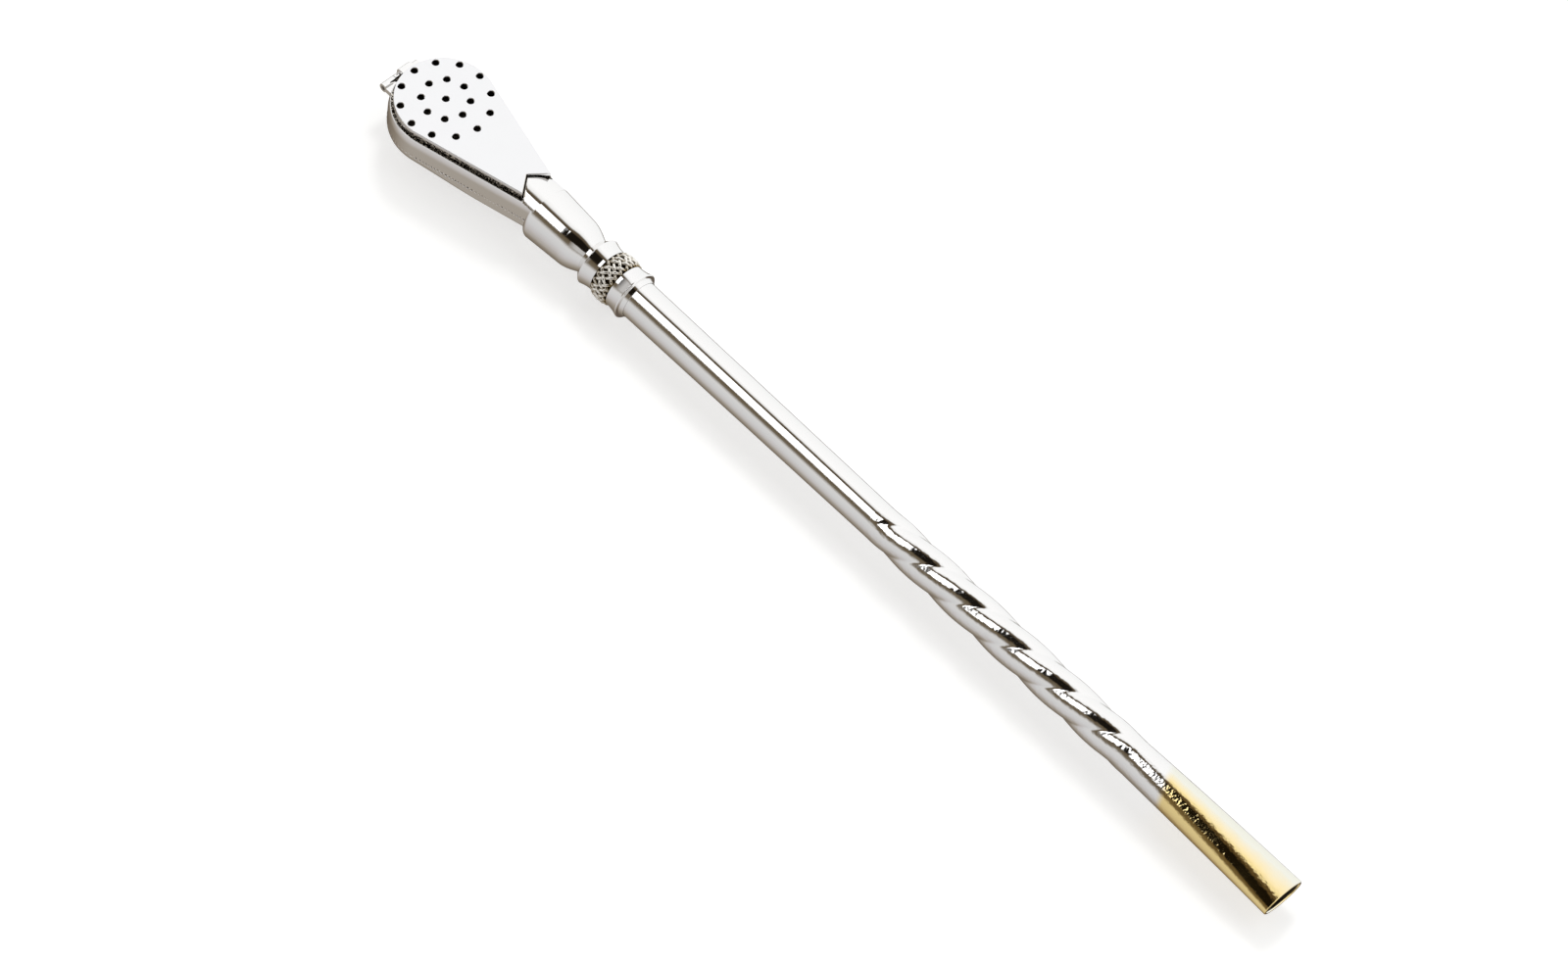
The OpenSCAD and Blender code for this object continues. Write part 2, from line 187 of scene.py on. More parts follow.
# The collar
CUP_LIP_R = span("neck_cup", "z")[1]
CUP_LIP_EDGE_R = 0.18
CUP_FOOT_R = 3.8
FLARE_LEN = 2.4
RING_X, RING_END_X = span("woven_ring", "x")
RING_R = span("woven_ring", "z")[1]
LIP_T = 0.15
LIP_BACK_X = RING_END_X + FLARE_LEN + LIP_T
LIP_BACK_R = TUBE_R + 0.28
COLLAR_END_X = span("tube_cup", "x")[1]
COLLAR_END_R = TUBE_R + 0.1
COLLAR_BORE_R = TUBE_R + 0.03


# Materials
def linear(hex_colour):
    """sRGB hex colour as linear RGBA."""
    parts = [int(hex_colour[i:i + 2], 16) / 255 for i in (1, 3, 5)]
    return [c / 12.92 if c <= 0.04045 else ((c + 0.055) / 1.055) ** 2.4 for c in parts] + [1]


def add(tree, kind, inputs=None, **settings):
    """Adds a node with its settings; each input is a value or another node's output."""
    new = tree.nodes.new(kind)
    for key, value in settings.items():
        setattr(new, key, value)
    for key, value in (inputs or {}).items():
        if isinstance(value, bpy.types.NodeSocket):
            tree.links.new(value, new.inputs[key])
        else:
            new.inputs[key].default_value = value
    return new


def metal(name, colour, roughness):
    """A bare metal with its node tree, its shader and the place on the object in metres."""
    made = bpy.data.materials.new(name)
    made.use_nodes = True
    tree = made.node_tree
    shader = tree.nodes["Principled BSDF"]
    shader.inputs["Metallic"].default_value = 1
    shader.inputs["Base Color"].default_value = linear(colour)
    shader.inputs["Roughness"].default_value = roughness
    return made, tree, shader, add(tree, "ShaderNodeTexCoord").outputs["Object"]


def buff(tree, shader, place, roughness, line_mm, ripple_mm, ripple_depth_mm):
    """Wheel buffing: shallow ripples, fine lines of a length along each axis, and patches of haze.

    The real lines are finer than 0.05 mm; they are drawn coarser to show.
    """
    line_depth_mm, haze_mm, haze_roughness = 0.0006, 5, 0.06
    ripple = add(tree, "ShaderNodeTexNoise",
                 {"Vector": place, "Scale": 1 / (ripple_mm * MM), "Detail": 1})
    stretched = add(tree, "ShaderNodeVectorMath", {0: place, 1: [1 / (mm * MM) for mm in line_mm]},
                    operation="MULTIPLY")
    lines = add(tree, "ShaderNodeTexNoise", {"Vector": stretched.outputs[0], "Scale": 1, "Detail": 2})
    waves = add(tree, "ShaderNodeBump",
                {"Height": ripple.outputs["Fac"], "Distance": ripple_depth_mm * MM})
    relief = add(tree, "ShaderNodeBump", {"Height": lines.outputs["Fac"], "Distance": line_depth_mm * MM,
                                          "Normal": waves.outputs["Normal"]})
    haze = add(tree, "ShaderNodeTexNoise", {"Vector": place, "Scale": 1 / (haze_mm * MM), "Detail": 4})
    dulled = add(tree, "ShaderNodeMapRange",
                 {"Value": haze.outputs["Fac"], "From Min": 0.4, "From Max": 0.75,
                  "To Min": roughness, "To Max": roughness + haze_roughness})
    tree.links.new(relief.outputs["Normal"], shader.inputs["Normal"])
    tree.links.new(dulled.outputs["Result"], shader.inputs["Roughness"])


def spun_nickel_silver():
    """Nickel silver, spun and buffed on a wheel: a near-white mirror with faint lines around the stem."""
    made, tree, shader, place = metal("spun_nickel_silver", "#f6f5f4", 0.04)
    buff(tree, shader, place, 0.04, (0.15, 6, 6), 0.8, 0.004)
    return made


def drawn_nickel_silver():
    """Nickel silver tube, drawn and buffed: a near-white mirror with faint draw lines along the stem."""
    made, tree, shader, place = metal("drawn_nickel_silver", "#f6f5f4", 0.04)
    buff(tree, shader, place, 0.04, (10, 0.12, 0.12), 0.8, 0.004)
    return made


def twisted_nickel_silver():
    """Nickel silver tube, twisted by hand and buffed: a mirror whose small dents break its dark lines."""
    made, tree, shader, place = metal("twisted_nickel_silver", "#f6f5f4", 0.05)
    buff(tree, shader, place, 0.05, (4, 0.15, 0.15), 1.0, 0.05)
    return made


def pressed_nickel_silver():
    """Nickel silver sheet, pressed and polished: an even white, with wide shallow dents and fine scuffs."""
    dent_mm, dent_depth_mm, scuff_mm, scuff_depth_mm = 3, 0.008, 0.25, 0.0008
    made, tree, shader, place = metal("pressed_nickel_silver", "#f1f1f2", 0.07)
    dents = add(tree, "ShaderNodeTexNoise", {"Vector": place, "Scale": 1 / (dent_mm * MM), "Detail": 2})
    scuffs = add(tree, "ShaderNodeTexNoise", {"Vector": place, "Scale": 1 / (scuff_mm * MM), "Detail": 3})
    shallow = add(tree, "ShaderNodeBump", {"Height": dents.outputs["Fac"], "Distance": dent_depth_mm * MM})
    relief = add(tree, "ShaderNodeBump", {"Height": scuffs.outputs["Fac"], "Distance": scuff_depth_mm * MM,
                                          "Normal": shallow.outputs["Normal"]})
    wear_and_painted_light = add(tree, "ShaderNodeMapRange",
                 {"Value": dents.outputs["Fac"], "From Min": 0.35, "From Max": 0.7,
                  "To Min": 0.06, "To Max": 0.16})
    tree.links.new(relief.outputs["Normal"], shader.inputs["Normal"])
    tree.links.new(wear_and_painted_light.outputs["Result"], shader.inputs["Roughness"])
    return made


def gold_plate():
    """Thin gold on pressed nickel silver: a warm mirror, painted pale in uneven patches where it faces +y as
    a painted reflection, with a slanted border.
    """
    slant, half_border_mm, patch_mm = 0.45, 0.8, 2.5
    made, tree, shader, place = metal("gold_plate", "#f4dd9a", 0.05)
    buff(tree, shader, place, 0.05, (10, 0.12, 0.12), 0.6, 0.03)
    axes = add(tree, "ShaderNodeSeparateXYZ", {"Vector": place}).outputs
    slanted = add(tree, "ShaderNodeMath", {0: axes["Y"], 1: slant, 2: axes["X"]}, operation="MULTIPLY_ADD")
    start = (GOLD_X + ORIGIN[0]) * MM
    border = add(tree, "ShaderNodeMapRange",
                 {"Value": slanted.outputs[0], "From Min": start - half_border_mm * MM,
                  "From Max": start + half_border_mm * MM}, interpolation_type="SMOOTHSTEP")
    patchy = add(tree, "ShaderNodeTexNoise", {"Vector": place, "Scale": 1 / (patch_mm * MM), "Detail": 3})
    # Painted reflection: the gold is painted pale where the surface faces +y, toward the room's white far
    # side, in uneven patches
    normal = add(tree, "ShaderNodeNewGeometry").outputs["Normal"]
    facing = add(tree, "ShaderNodeSeparateXYZ", {"Vector": normal}).outputs
    far_side_sheen = add(tree, "ShaderNodeMath", {0: patchy.outputs["Fac"], 1: 0.2, 2: facing["Y"]},
               operation="MULTIPLY_ADD")
    wear_and_painted_light = add(tree, "ShaderNodeMapRange",
                 {"Value": far_side_sheen.outputs[0], "From Min": -0.05, "From Max": 0.4})
    gold = add(tree, "ShaderNodeMix", {"Factor": wear_and_painted_light.outputs["Result"], "A": linear("#fce3a0"),
                                       "B": linear("#f1f0e4")}, data_type="RGBA")
    plated = add(tree, "ShaderNodeMix", {"Factor": border.outputs["Result"], "A": linear("#f6f5f4"),
                                         "B": gold.outputs["Result"]}, data_type="RGBA")
    tree.links.new(plated.outputs["Result"], shader.inputs["Base Color"])
    return made


def woven_wire():
    """Drawn nickel silver wire, woven: bright at the outside, painted dark brown toward the core as shade
    between the wires.
    """
    shade_noise_mm, shade_noise_reach_mm, dent_mm, dent_depth_mm = 0.7, 0.35, 0.3, 0.02
    made, tree, shader, place = metal("woven_nickel_silver_wire", "#e2ddd2", 0.14)
    axes = add(tree, "ShaderNodeSeparateXYZ", {"Vector": place}).outputs
    height = add(tree, "ShaderNodeMath", {0: axes["Z"], 1: ORIGIN[2] * MM}, operation="SUBTRACT")
    across = add(tree, "ShaderNodeCombineXYZ", {"Y": axes["Y"], "Z": height.outputs[0]})
    radius = add(tree, "ShaderNodeVectorMath", {0: across.outputs[0]}, operation="LENGTH")
    shade_noise = add(tree, "ShaderNodeTexNoise", {"Vector": place, "Scale": 1 / (shade_noise_mm * MM), "Detail": 3})
    # Painted shade: the wire's colour darkens to brown toward the core, between the wires, its edge broken
    # by noise
    shade_radius = add(tree, "ShaderNodeMath",
                 {0: shade_noise.outputs["Fac"], 1: shade_noise_reach_mm * MM, 2: radius.outputs["Value"]},
                 operation="MULTIPLY_ADD")
    wear_and_painted_light = add(tree, "ShaderNodeMapRange",
                 {"Value": shade_radius.outputs[0], "From Min": (RING_R - 0.3) * MM,
                  "From Max": (RING_R + 0.05) * MM})
    tone = add(tree, "ShaderNodeMix", {"Factor": wear_and_painted_light.outputs["Result"], "A": linear("#86703f"),
                                       "B": linear("#fbf8f1")}, data_type="RGBA")
    dents = add(tree, "ShaderNodeTexNoise", {"Vector": place, "Scale": 1 / (dent_mm * MM), "Detail": 2})
    relief = add(tree, "ShaderNodeBump", {"Height": dents.outputs["Fac"], "Distance": dent_depth_mm * MM})
    tree.links.new(tone.outputs["Result"], shader.inputs["Base Color"])
    tree.links.new(relief.outputs["Normal"], shader.inputs["Normal"])
    return made


def oxidised_core():
    """Nickel silver left to oxidise under the wire: dark brown, rough and mottled."""
    mottle_mm, pit_depth_mm = 0.4, 0.03
    made, tree, shader, place = metal("oxidised_nickel_silver", "#3a332a", 0.4)
    mottle = add(tree, "ShaderNodeTexNoise", {"Vector": place, "Scale": 1 / (mottle_mm * MM), "Detail": 4})
    tone = add(tree, "ShaderNodeMix", {"Factor": mottle.outputs["Fac"], "A": linear("#1f1912"),
                                       "B": linear("#54462f")}, data_type="RGBA")
    relief = add(tree, "ShaderNodeBump", {"Height": mottle.outputs["Fac"], "Distance": pit_depth_mm * MM})
    tree.links.new(tone.outputs["Result"], shader.inputs["Base Color"])
    tree.links.new(relief.outputs["Normal"], shader.inputs["Normal"])
    return made


def tea_stained_inside():
    """Unpolished nickel silver inside, stained by tea: brown tide marks on a dull grey."""
    stain_mm, pit_mm, pit_depth_mm = 2.5, 0.3, 0.02
    made, tree, shader, place = metal("tea_stained_nickel_silver", "#7d7160", 0.45)
    stain = add(tree, "ShaderNodeTexNoise", {"Vector": place, "Scale": 1 / (stain_mm * MM), "Detail": 5})
    tone = add(tree, "ShaderNodeValToRGB", {"Fac": stain.outputs["Fac"]})
    brown, grey = tone.color_ramp.elements
    brown.position, brown.color = 0.38, linear("#3c3021")
    grey.position, grey.color = 0.66, linear("#958b7c")
    pits = add(tree, "ShaderNodeTexNoise", {"Vector": place, "Scale": 1 / (pit_mm * MM), "Detail": 3})
    relief = add(tree, "ShaderNodeBump", {"Height": pits.outputs["Fac"], "Distance": pit_depth_mm * MM})
    tree.links.new(tone.outputs["Color"], shader.inputs["Base Color"])
    tree.links.new(relief.outputs["Normal"], shader.inputs["Normal"])
    return made


def filed_nickel_silver():
    """Nickel silver as a file leaves it, in the lid's notch: dull warm grey with cuts across it.

    The cuts lie pi / 10 of wave_mm apart; real ones are finer, and these are drawn coarser to show.
    """
    wave_mm, cut_depth_mm = 3, 0.02
    made, tree, shader, place = metal("filed_nickel_silver", "#d9d1c4", 0.45)
    cuts = add(tree, "ShaderNodeTexWave",
               {"Vector": place, "Scale": 1 / (wave_mm * MM), "Distortion": 3, "Detail": 2})
    relief = add(tree, "ShaderNodeBump", {"Height": cuts.outputs["Fac"], "Distance": cut_depth_mm * MM})
    tree.links.new(relief.outputs["Normal"], shader.inputs["Normal"])
    return made


def painted_joint_shade():
    """Painted shade in the joint under the lid and in the seam's pits: dark brown, flecked with bright
    metal.
    """
    speck_mm, speck_depth_mm = 0.3, 0.03
    made, tree, shader, place = metal("dark_joint_shade", "#2a2016", 0.35)
    speck_noise = add(tree, "ShaderNodeTexNoise", {"Vector": place, "Scale": 1 / (speck_mm * MM), "Detail": 3})
    tone = add(tree, "ShaderNodeValToRGB", {"Fac": speck_noise.outputs["Fac"]})
    brown, glint = tone.color_ramp.elements
    brown.position, brown.color = 0.5, linear("#1d150d")
    glint.position, glint.color = 0.6, linear("#e6dfd2")
    relief = add(tree, "ShaderNodeBump", {"Height": speck_noise.outputs["Fac"], "Distance": speck_depth_mm * MM})
    tree.links.new(tone.outputs["Color"], shader.inputs["Base Color"])
    tree.links.new(relief.outputs["Normal"], shader.inputs["Normal"])
    return made


def pin_steel():
    """Drawn steel wire of the hinge pin: dull grey, with lines along the pin."""
    line_mm, line_depth_mm = (0.1, 3, 0.1), 0.004
    made, tree, shader, place = metal("drawn_steel_wire", "#77736d", 0.3)
    stretched = add(tree, "ShaderNodeVectorMath", {0: place, 1: [1 / (mm * MM) for mm in line_mm]},
                    operation="MULTIPLY")
    lines = add(tree, "ShaderNodeTexNoise", {"Vector": stretched.outputs[0], "Scale": 1, "Detail": 2})
    relief = add(tree, "ShaderNodeBump", {"Height": lines.outputs["Fac"], "Distance": line_depth_mm * MM})
    tree.links.new(relief.outputs["Normal"], shader.inputs["Normal"])
    return made


SPUN_SILVER = spun_nickel_silver()
DRAWN_SILVER = drawn_nickel_silver()
TWISTED_SILVER = twisted_nickel_silver()
LID_SILVER = pressed_nickel_silver()
FILED_SILVER = filed_nickel_silver()
GOLD = gold_plate()
WIRE = woven_wire()
CORE = oxidised_core()
STAINED = tea_stained_inside()
JOINT_SHADE = painted_joint_shade()
PIN_STEEL = pin_steel()


# Mesh tools
def piece(name, points, faces, materials, body, nodes, face_materials=None, sharp=35):
    """One closed mesh, from points in millimetres, that rides on a body and stands for CAD nodes."""
    mesh = bpy.data.meshes.new(name)
    mesh.from_pydata((np.asarray(points) + ORIGIN) * MM, [], faces)
    for material in materials:
        mesh.materials.append(material)
    if face_materials is not None:
        mesh.polygons.foreach_set("material_index", face_materials)
    work = bmesh.new()
    work.from_mesh(mesh)
    bmesh.ops.recalc_face_normals(work, faces=work.faces)
    work.to_mesh(mesh)
    work.free()
    mesh.shade_smooth()
    mesh.set_sharp_from_angle(angle=math.radians(sharp))
    made = bpy.data.objects.new(name, mesh)
    bpy.context.scene.collection.objects.link(made)
    # Keeps the shading of wide flat faces flat beside their narrow rounded edges
    even = made.modifiers.new("even_shading", "WEIGHTED_NORMAL")
    even.keep_sharp = True
    even.weight = 80
    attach(made, body)
    if nodes:
        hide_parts(*nodes)
    return made


def skin(rows, first=0, close_rows=True, close_columns=True):
    """Four-sided faces between rows of points, numbered from first."""
    count, width = len(rows), len(rows[0])
    return [[first + i * width + j, first + i * width + (j + 1) % width,
             first + (i + 1) % count * width + (j + 1) % width, first + (i + 1) % count * width + j]
            for i in range(count if close_rows else count - 1)
            for j in range(width if close_columns else width - 1)]


def ends(rows, first=0):
    """Faces that close the first and the last of the rows of points, numbered from first."""
    count, width = len(rows), len(rows[0])
    return [[first + j for j in range(width)], [first + (count - 1) * width + j for j in range(width)]]


def arc(cx, cy, r, start, end, steps):
    """Points of a circular arc, with its angles in degrees."""
    angles = np.radians(np.linspace(start, end, steps + 1))
    return np.stack([cx + r * np.cos(angles), cy + r * np.sin(angles)], 1)


def rounded(corners, steps=6):
    """A closed outline with corners given as (x, y, radius), each rounded by an arc of that radius."""
    made = []
    count = len(corners)
    for i, (x, y, r) in enumerate(corners):
        here = np.array([x, y], float)
        if r == 0:
            made.append(here)
            continue
        back = np.array(corners[i - 1][:2]) - here
        on = np.array(corners[(i + 1) % count][:2]) - here
        back, on = back / np.linalg.norm(back), on / np.linalg.norm(on)
        half = math.acos(np.clip(back @ on, -1, 1)) / 2
        middle = here + (back + on) / np.linalg.norm(back + on) * r / math.sin(half)
        start = here + back * r / math.tan(half) - middle
        end = here + on * r / math.tan(half) - middle
        turn = math.acos(np.clip(start @ end / r ** 2, -1, 1))
        for t in np.linspace(0, 1, steps + 1):
            swung = start * math.sin((1 - t) * turn) + end * math.sin(t * turn)
            made.append(middle + swung / math.sin(turn))
    return np.array(made)


def turned(outline, sides=160):
    """Rows of points of an outline of (x, radius) turned around the stem's axis."""
    angles = np.linspace(0, 2 * np.pi, sides, endpoint=False)
    return np.array([[(x, r * math.cos(a), r * math.sin(a)) for a in angles] for x, r in outline])


def ease(t):
    """Eased step from 0 to 1."""
    t = np.clip(t, 0, 1)
    return t * t * (3 - 2 * t)


def spoon_line(inset, x1, tip_steps=120, side_steps=60):
    """The spoon's outline, inset from the bowl's rim: from x1 on the far side around the tip and back."""
    r = BOWL_R - inset
    a = math.degrees(SIDE_ANGLE)
    half = (r - x1 * math.sin(SIDE_ANGLE)) / math.cos(SIDE_ANGLE)
    tip = arc(0, 0, r, 90 - a, 270 + a, tip_steps)
    share = np.linspace(0, 1, side_steps, endpoint=False)[:, None]
    far = np.array([x1, half]) * (1 - share) + tip[0] * share
    near = (np.array([x1, -half]) * (1 - share) + tip[-1] * share)[::-1]
    return np.concatenate([far, tip, near])


# The pieces
def bowl():
    """The deep drawn shell: lower edge that tightens toward the neck, upright wall with a solder seam."""
    tip_rows, seam, shade_row = bowl_rows(BOWL_EDGE_R)
    neck_rows, _, _ = bowl_rows(BOWL_NECK_EDGE_R)
    tight = ease(tip_rows[-1, :, 0] / EDGE_CHANGE_LEN)[None, :, None]
    rows = tip_rows * (1 - tight) + neck_rows * tight
    count, width = rows.shape[:2]
    faces = skin(rows, close_rows=False, close_columns=False)
    pits = seam_beads(width) < SHADED_PIT
    # 0 is the polished outside, 1 the stained inside and 2 the painted shade in the rim joint and the seam's
    # pits
    materials = [2 if i == shade_row or i in seam and pits[j] else int(i > shade_row)
                 for i in range(count - 1) for j in range(width - 1)]
    mouth = [i * width for i in range(count)] + [i * width + width - 1 for i in reversed(range(count))]
    return piece("bowl_shell", rows.reshape(-1, 3), faces + ends(rows) + [mouth],
                 [SPUN_SILVER, STAINED, JOINT_SHADE], "straw", ["bowl"],
                 materials + [0, 1, 1])


def bowl_rows(edge_r):
    """Rows of the bowl for one radius of its lower edge, with its seam rows and its rim row of painted
    shade.
    """
    edge_gap, inner_rim_drop, hair = 0.03, 0.4, 0.001
    wall_z = FLOOR_Z + edge_r

    def lean(z):
        """Inset of the wall, which leans out from its foot."""
        return BOWL_FLARE * (RIM_Z - z) / (RIM_Z - FLOOR_Z)

    def wall(z):
        """Inset of the wall's outside, which turns in a little under the rim."""
        return lean(z) + TURN_IN * max((z - RIM_Z + TURN_IN_H) / TURN_IN_H, 0) ** 2

    low_edge = arc(wall(wall_z) + edge_r, wall_z, edge_r, 270, 180, 16)
    below = np.linspace(wall_z + edge_gap, SEAM_Z - SEAM_ZONE_HALF_H, 5)
    seam = SEAM_Z + np.linspace(-SEAM_HALF_H, SEAM_HALF_H, len(SEAM_PROFILE))
    above = np.linspace(SEAM_Z + SEAM_ZONE_HALF_H, RIM_Z - RIM_EDGE_R, 20)
    outside = [(wall(z), z) for z in [*below, *seam, *above]]
    rim_z = RIM_Z - RIM_EDGE_R
    outer_rim = arc(wall(RIM_Z) + RIM_EDGE_R, rim_z, RIM_EDGE_R, 180, 90, 4)[1:]
    inner_rim = arc(BOWL_WALL - RIM_EDGE_R, rim_z, RIM_EDGE_R, 90, 0, 4)
    inside = [(lean(z) + BOWL_WALL, z)
              for z in np.linspace(RIM_Z - inner_rim_drop, wall_z + BOWL_WALL, 6)]
    inner_r = max(edge_r - BOWL_WALL, INNER_EDGE_R)
    inner_z = FLOOR_Z + BOWL_WALL + inner_r
    inner_edge = arc(wall(wall_z) + BOWL_WALL + inner_r, inner_z, inner_r, 180, 270, 6)
    rim = [*outer_rim, (RIM_SHADE_INSET, RIM_Z), *inner_rim]
    rows = []
    for inset, z in [*low_edge, *outside, *rim, *inside, *inner_edge]:
        line = spoon_line(inset, LAP_X, 240, 240)
        lap_y = min(line[0, 1], math.sqrt(LAP_R ** 2 - z ** 2))
        lap = [(BOWL_END_X, lap_y), (LAP_X + hair, lap_y)]
        rows.append([(x, y, z) for x, y in [*lap, *line, *[(x, -y) for x, y in reversed(lap)]]])
    rows = np.array(rows)
    first = len(low_edge) + len(below)
    raise_beads(rows[first:first + len(seam)])
    # The rim row just inside its outer edge is painted dark brown, as shade in the joint under the lid
    shade_row = len(low_edge) + len(outside) + len(outer_rim)
    return rows, range(first + 1, first + len(seam) - 2), shade_row


def seam_beads(count):
    """Beads of a hand-soldered seam, above 0, and the pits between them, below 0, along its points."""
    plain_ends = 6
    along = np.arange(count)
    made = np.sin(along * 0.95 + 2 * np.sin(along * 0.11)) * (0.65 + 0.35 * np.sin(along * 0.037))
    made[:plain_ends], made[-plain_ends:] = 0, 0
    return made


def raise_beads(rows):
    """Pushes the seam's beads out of its rows and its pits in."""
    beads = seam_beads(rows.shape[1])
    for row, share in zip(rows, SEAM_PROFILE):
        height = share * np.where(beads > 0, BEAD_H, PIT_DEPTH) * beads
        out = np.column_stack([np.where(row[:, 0] < 0, row[:, 0], 0), row[:, 1], np.zeros(len(row))])
        row += out / np.maximum(np.linalg.norm(out, axis=1), 1e-6)[:, None] * height[:, None]


def lid_line(inset):
    """Outline of the lid with its V notch, inset from its edge."""
    notch_x = NOTCH_X - inset * math.hypot(1, CHEVRON_SLOPE)
    r = LID_R - inset
    corner_y = ((r - notch_x * math.sin(SIDE_ANGLE)) / math.cos(SIDE_ANGLE)
                / (1 + CHEVRON_SLOPE * math.tan(SIDE_ANGLE)))
    corner_x = notch_x + CHEVRON_SLOPE * corner_y
    line = spoon_line(BOWL_R - r, corner_x)
    return np.concatenate([line, [(notch_x + CHEVRON_SLOPE * abs(y), y)
                                  for y in np.linspace(-corner_y, corner_y, NOTCH_STEPS + 2)[1:-1]]])


def dome(points):
    """Height of the lid's soft dome over its plate."""
    away = np.hypot(points[:, 0], points[:, 1]) / LID_R
    return DOME_RISE * np.where(away < 1, np.clip(1 - away ** 2, 0, 1) ** 1.5, 0)


def inside_line(p, line):
    """Whether a flat point lies inside a closed line."""
    x, y = p
    nexts = np.roll(line, -1, axis=0)
    crosses = (line[:, 1] > y) != (nexts[:, 1] > y)
    rise = np.where(crosses, nexts[:, 1] - line[:, 1], 1)
    at = line[:, 0] + (y - line[:, 1]) / rise * (nexts[:, 0] - line[:, 0])
    return bool(np.sum(crosses & (at > x)) % 2)


def flat_plate(loops, holes, hole_r):
    """Triangles of a flat plate within its first loop and clear of its holes."""
    step, end_x, keep_off = 0.5, 21, 0.22
    starts = np.cumsum([0] + [len(loop) for loop in loops])
    edges = [(starts[k] + i, starts[k] + (i + 1) % len(loop)) for k, loop in enumerate(loops)
             for i in range(len(loop))]
    fixed = np.concatenate(loops)
    grid = [(x, y) for i, x in enumerate(np.arange(-LID_R, end_x, step))
            for y in np.arange(-LID_R + step / 2 * (i % 2), LID_R, step)]
    clear = [p for p in grid if np.hypot(*(fixed - p).T).min() > keep_off]
    corners = [Vector(p) for p in [*fixed, *clear]]
    found, _, triangles, _, _, _ = delaunay_2d_cdt(corners, edges, [], 0, 1e-7)
    found = np.array([tuple(p) for p in found])
    kept = []
    for t in triangles:
        middle = found[list(t)].mean(0)
        in_hole = any(math.dist(middle, hole) <= hole_r * 0.98 for hole in holes)
        if inside_line(middle, loops[0]) and not in_hole:
            kept.append(list(t))
    return found, kept


def strainer_lid():
    """The pressed cap with its punched holes: crisp turned-down edge, soft dome, dull underside."""
    turns = np.radians([90, 60, 30, 0])
    edge_lines = [lid_line(LID_EDGE_R * (1 - math.cos(t))) for t in turns]
    edge_drops = [LID_EDGE_R * (1 - math.sin(t)) for t in turns]
    lip_line = lid_line(LID_LIP)
    holes = [(ring_r * math.cos(2 * math.pi * k / n), ring_r * math.sin(2 * math.pi * k / n))
             for ring_r, n in HOLE_RINGS for k in range(n)]
    around = (0, 360 - 360 / HOLE_SIDES, HOLE_SIDES - 1)
    rims = [arc(x, y, HOLE_D / 2 + HOLE_EDGE, *around) for x, y in holes]
    walls = [arc(x, y, HOLE_D / 2, *around) for x, y in holes]
    flat, triangles = flat_plate([edge_lines[0], lip_line, *rims], holes, HOLE_D / 2 + HOLE_EDGE)
    within = [inside_line(flat[t].mean(0), lip_line) for t in triangles]
    count = len(flat)
    layers = [LID_TOP + dome(flat), np.full(count, LID_TOP - LID_SHEET), np.full(count, LID_Z)]
    points = [np.column_stack([flat, z]) for z in layers]
    faces = [list(t) for t in triangles]
    faces += [[i + (1 if hollow else 2) * count for i in reversed(t)]
              for t, hollow in zip(triangles, within)]
    # 0 is the polished top, 1 the stained underside, 2 the filed notch and 3 the painted shade at the edge's
    # foot
    materials = [0] * len(triangles) + [1] * len(triangles)

    def loop_at(line, layer):
        """Numbers of a line's points in one of the three layers."""
        return [int(np.argmin(np.hypot(*(flat - p).T))) + layer * count for p in line]

    def join(loops, material, filed=()):
        """Four-sided faces through loops of the same length, filed at some places in the loops."""
        for one, two in zip(loops, loops[1:]):
            n = len(one)
            for i in range(n):
                faces.append([one[i], one[(i + 1) % n], two[(i + 1) % n], two[i]])
                materials.append(2 if i in filed else material)

    def new_loop(line, z):
        """Adds a line's points at a height."""
        start = sum(len(p) for p in points)
        points.append(np.column_stack([line, z]))
        return list(range(start, start + len(line)))

    edge_rows = [new_loop(line, LID_TOP + dome(line) - drop)
                 for line, drop in zip(edge_lines[1:], edge_drops[1:])]
    foot = new_loop(edge_lines[-1], np.full(len(lip_line), LID_Z + LID_EDGE_R))
    # The foot of the lid's edge is painted dark brown as shade, in a lower band at the tip
    rise = ease((edge_lines[-1][:, 0] - SHADE_FROM_X) / SHADE_RISE_LEN)
    spread = TIP_SHADE + (1 - TIP_SHADE) * rise
    shade_line = new_loop(edge_lines[-1], LID_Z + LID_EDGE_R + LID_SHADE_H * spread)
    notch = len(lip_line) - NOTCH_STEPS - 1
    near_leg = range(notch, notch + (NOTCH_STEPS + 1) // 2)
    join([loop_at(edge_lines[0], 0), *edge_rows, shade_line], 0, near_leg)
    join([shade_line, foot, loop_at(edge_lines[0], 2)], 3, near_leg)
    join([loop_at(lip_line, 2), loop_at(lip_line, 1)], 1)
    for rim, wall in zip(rims, walls):
        top = new_loop(wall, LID_TOP + dome(wall) - HOLE_EDGE)
        low = new_loop(wall, np.full(len(wall), LID_TOP - LID_SHEET + HOLE_LOW_EDGE))
        join([loop_at(rim, 0), top], 0)
        join([top, low, loop_at(rim, 1)], 1)
    return lid_piece(np.concatenate(points), faces, materials)


def lid_piece(points, faces, materials):
    """The lid's mesh without the points that no face uses."""
    used = sorted({i for face in faces for i in face})
    number = {old: new for new, old in enumerate(used)}
    faces = [[number[i] for i in face] for face in faces]
    return piece("strainer_plate", points[used], faces, [LID_SILVER, STAINED, FILED_SILVER, JOINT_SHADE],
                 "lid", ["strainer_lid"], materials, sharp=40)


